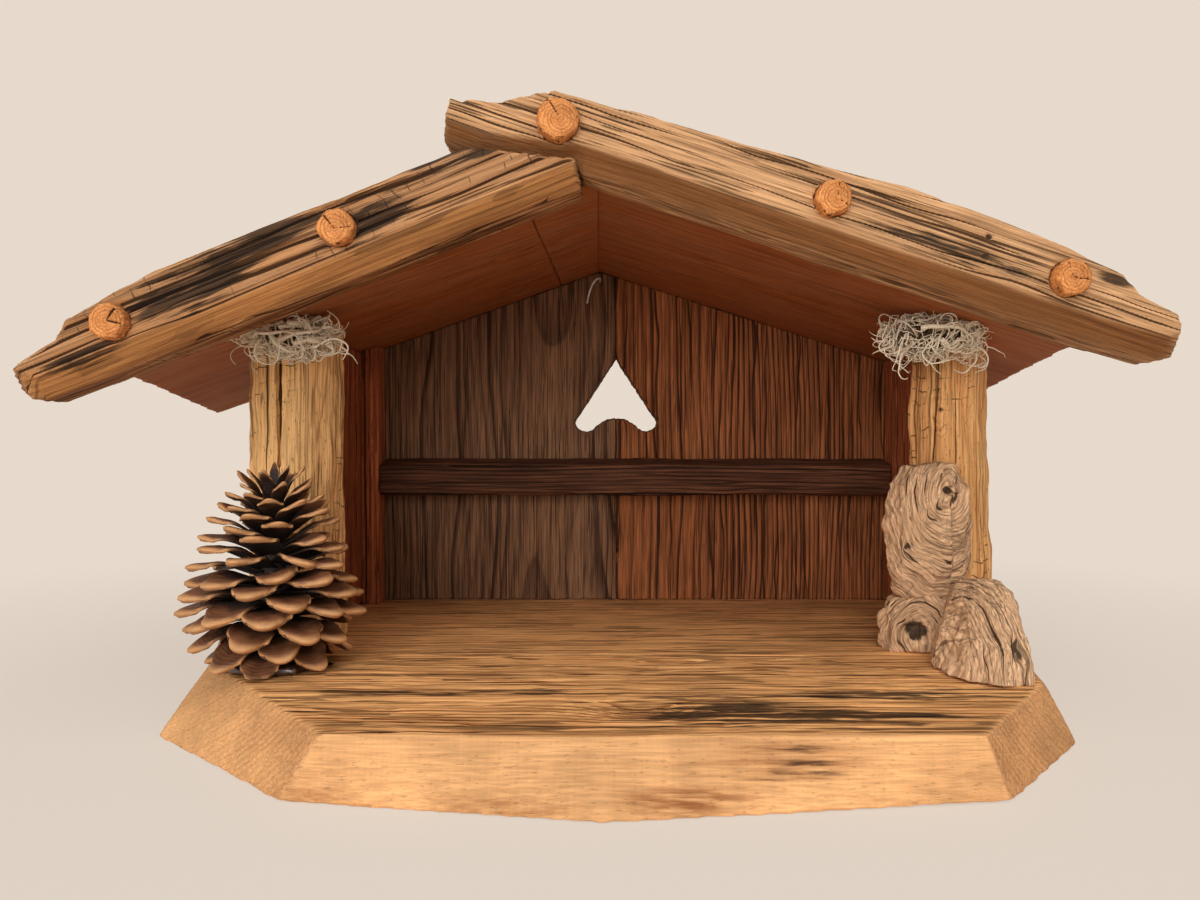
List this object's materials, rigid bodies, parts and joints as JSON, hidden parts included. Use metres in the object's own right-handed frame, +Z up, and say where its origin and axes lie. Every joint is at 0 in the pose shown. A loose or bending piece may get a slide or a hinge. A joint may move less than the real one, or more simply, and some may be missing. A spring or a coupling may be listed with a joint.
{
  "type": "nativity stable",
  "caption": "Rustic wooden nativity stable with a bevelled plank base, rough posts, board walls with a window, and an open-fronted gable roof with pegged barge boards.",
  "frame": {"origin": "on the underside of the base, under the ridge, in the middle of the base's depth", "axes": "+X to the right seen from the open front, +Y to the back, +Z up"},
  "size_m": [0.3489, 0.212, 0.1801],
  "materials": {
    "base_wood": "weathered plank, sawn bevels",
    "barge_wood": "weathered and scorched face, golden chamfer",
    "roof_wood": "smooth reddish boards",
    "wall_wood": "brushed dark boards with deep grain",
    "post_wood": "bare rough posts with drying cracks",
    "bark": "grey tan weathered bark",
    "peg_wood": "orange end grain",
    "cone_wood": "dry woody scales",
    "glue": "dark glue",
    "lichen": "dry pale strands",
    "dowel_wood": "plain hardwood dowel",
    "steel": "plain steel wire, screws and nails"
  },
  "bodies": {
    "root": {"front_base_plank": "base_wood", "rear_base_plank": "base_wood", "left_barge_board": "barge_wood", "right_barge_board": "barge_wood", "left_roof_board": "roof_wood", "left_ridge_strip": "roof_wood", "right_roof_board": "roof_wood", "left_side_wall": "wall_wood", "right_side_wall": "wall_wood", "left_corner_batten": "wall_wood", "back_wall_left_board": "wall_wood", "back_wall_right_board": "wall_wood", "rear_rail": "wall_wood", "left_post": "post_wood", "right_post": "post_wood", "rear_bark": "bark", "upper_bark": "bark", "front_bark": "bark", "left_eave_peg": "peg_wood", "left_middle_peg": "peg_wood", "ridge_peg": "peg_wood", "right_middle_peg": "peg_wood", "right_eave_peg": "peg_wood", "pine_cone_core": "cone_wood", "pine_cone_scales": "cone_wood", "pine_cone_pad": "glue", "left_lichen": "lichen", "right_lichen": "lichen", "base_dowels": "dowel_wood", "post_dowels": "dowel_wood", "barge_screws": "steel", "back_wall_nails": "steel", "rail_nails": "steel", "roof_nails": "steel", "base_screws": "steel", "ridge_hook": "steel"}
  },
  "joints": []
}
